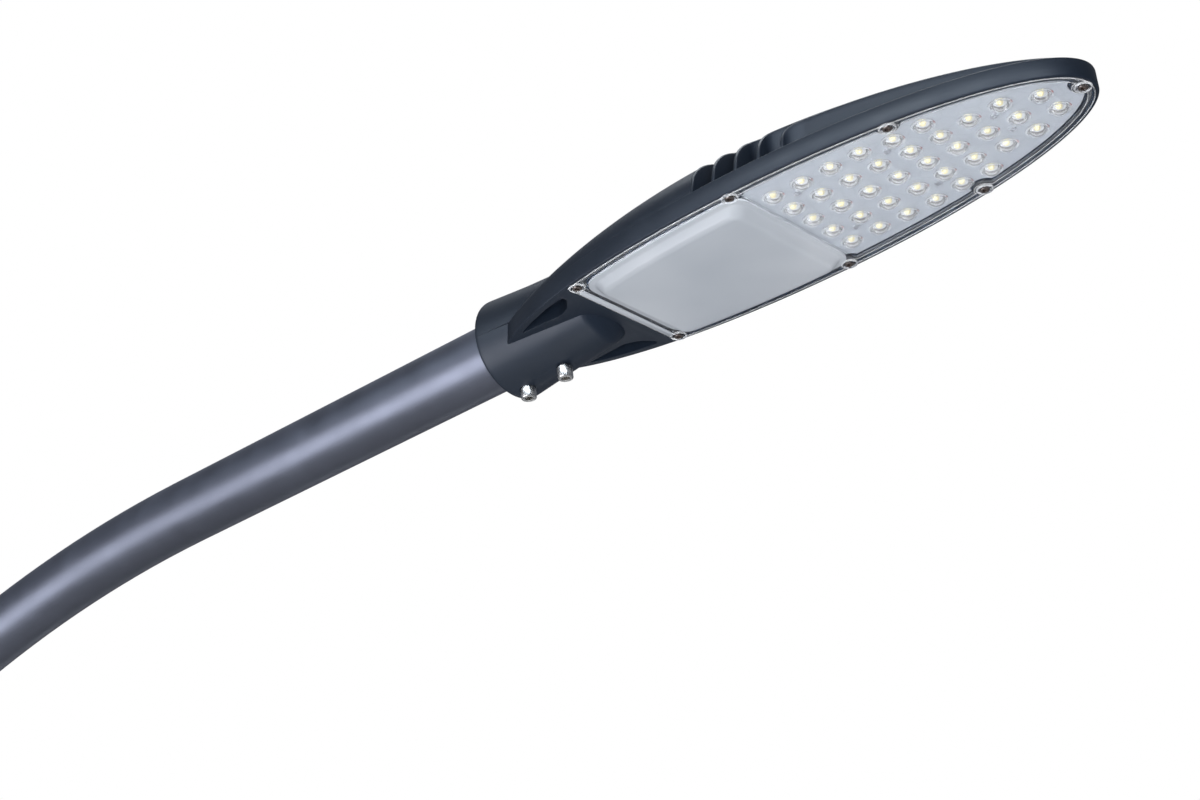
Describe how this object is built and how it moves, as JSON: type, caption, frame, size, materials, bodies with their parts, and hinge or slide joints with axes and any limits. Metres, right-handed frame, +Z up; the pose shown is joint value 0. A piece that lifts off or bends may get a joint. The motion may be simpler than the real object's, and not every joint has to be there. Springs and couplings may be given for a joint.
{
  "type": "street lamp post",
  "caption": "Stepped tubular street lamp post with a base access door, a slewing swan-neck arm and a leaf-shaped LED lamp head with a screwed-on lens cover.",
  "frame": {"origin": "centre of the base plate's underside, on the post's axis, at ground level", "axes": "+Z up along the post; +X out along the arm towards the lamp head; +Y across, completing a right-handed frame"},
  "size_m": [2.4257, 0.3, 5.089],
  "materials": {
    "post_paint": "satin powder coat, dark grey",
    "arm_paint": "satin powder coat, dark grey",
    "head_paint": "fine-textured powder coat, blue grey",
    "galvanised": "zinc plated, dull",
    "stainless": "bright stainless",
    "brass": "plain",
    "black_rubber": "matt",
    "gasket_rubber": "matt silicone",
    "cable_jacket": "matt",
    "dark_plastic": "moulded, fine texture",
    "grey_plastic": "moulded",
    "white_plastic": "moulded",
    "ivory_plastic": "moulded",
    "red_plastic": "moulded",
    "blue_plastic": "moulded",
    "wire_blue": "insulation",
    "wire_red": "insulation",
    "wire_earth": "insulation",
    "board_white": "white solder mask on aluminium",
    "phosphor": "yellow phosphor",
    "clear_cover": "clear and frosted polycarbonate"
  },
  "bodies": {
    "post": {"base_plate": "post_paint", "base_gussets": "post_paint", "base_tube": "post_paint", "shoulder": "post_paint", "shaft": "post_paint", "hinge_knuckles": "post_paint", "hinge_pins": "stainless", "equipment_rail": "galvanised", "rail_brackets": "galvanised", "cutout_base": "dark_plastic", "cutout_cover": "grey_plastic", "breaker_body": "white_plastic", "supply_terminals": "brass", "cable_glands": "dark_plastic", "earth_stud": "brass", "earth_nuts": "galvanised", "earth_lead": "wire_earth", "riser_cable_lower": "cable_jacket"},
    "door": {"door": "post_paint", "door_lock_case": "stainless"},
    "door_lock": {"lock_barrel": "stainless", "lock_cam": "galvanised", "lock_nut": "galvanised"},
    "breaker": {"breaker_lever": "blue_plastic"},
    "arm": {"arm_sleeve": "post_paint", "arm_reducer": "post_paint", "arm_tube": "arm_paint", "sleeve_set_screws": "stainless", "riser_cable_upper": "cable_jacket", "tube_end_bush": "black_rubber"},
    "lamp_head": {"housing": "head_paint", "spigot_seal": "black_rubber", "head_cable_gland": "dark_plastic", "supply_tail": "cable_jacket", "gear_plate": "galvanised", "gear_plate_screws": "stainless", "led_driver": "white_plastic", "driver_screws": "stainless", "surge_protector": "red_plastic", "terminal_block": "ivory_plastic", "mains_leads": "wire_blue", "driver_leads": "wire_red", "led_board": "board_white", "led_chips": "phosphor", "board_screws": "stainless", "breather_vent": "dark_plastic", "head_earth_screw": "brass", "cover_gasket": "gasket_rubber"},
    "cover": {"lens_cover": "clear_cover", "cover_screws": "stainless"},
    "clamp_rear": {"set_screw_rear": "stainless"},
    "clamp_front": {"set_screw_front": "stainless"}
  },
  "joints": [
    {"name": "door_hinge", "type": "hinge", "parent": "post", "child": "door", "pos_m": [-0.05158, -0.05561, 0.7], "axis": [0, 0, -1], "range_deg": [0, 110]},
    {"name": "door_lock_turn", "type": "hinge", "parent": "door", "child": "door_lock", "pos_m": [0.02998, -0.05638, 0.7], "axis": [-0.4695, 0.8829, 0], "range_deg": [0, 90]},
    {"name": "breaker_toggle", "type": "hinge", "parent": "post", "child": "breaker", "pos_m": [0, -0.006, 0.72], "axis": [1, 0, 0], "range_deg": [0, 60]},
    {"name": "arm_slew", "type": "hinge", "parent": "post", "child": "arm", "pos_m": [0, 0, 3.45859], "axis": [0, 0, 1], "range_deg": [-90, 90]},
    {"name": "head_roll", "type": "hinge", "parent": "arm", "child": "lamp_head", "pos_m": [1.70532, 0, 5], "axis": [0.991, 0, 0.134], "range_deg": [-15, 15]},
    {"name": "cover_drop", "type": "slide", "parent": "lamp_head", "child": "cover", "axis": [0.134, 0, -0.991], "range_m": [0, 0.12]},
    {"name": "clamp_rear_unscrew", "type": "slide", "parent": "lamp_head", "child": "clamp_rear", "axis": [0.134, 0, -0.991], "range_m": [0, 0.006]},
    {"name": "clamp_front_unscrew", "type": "slide", "parent": "lamp_head", "child": "clamp_front", "axis": [0.134, 0, -0.991], "range_m": [0, 0.006]}
  ]
}
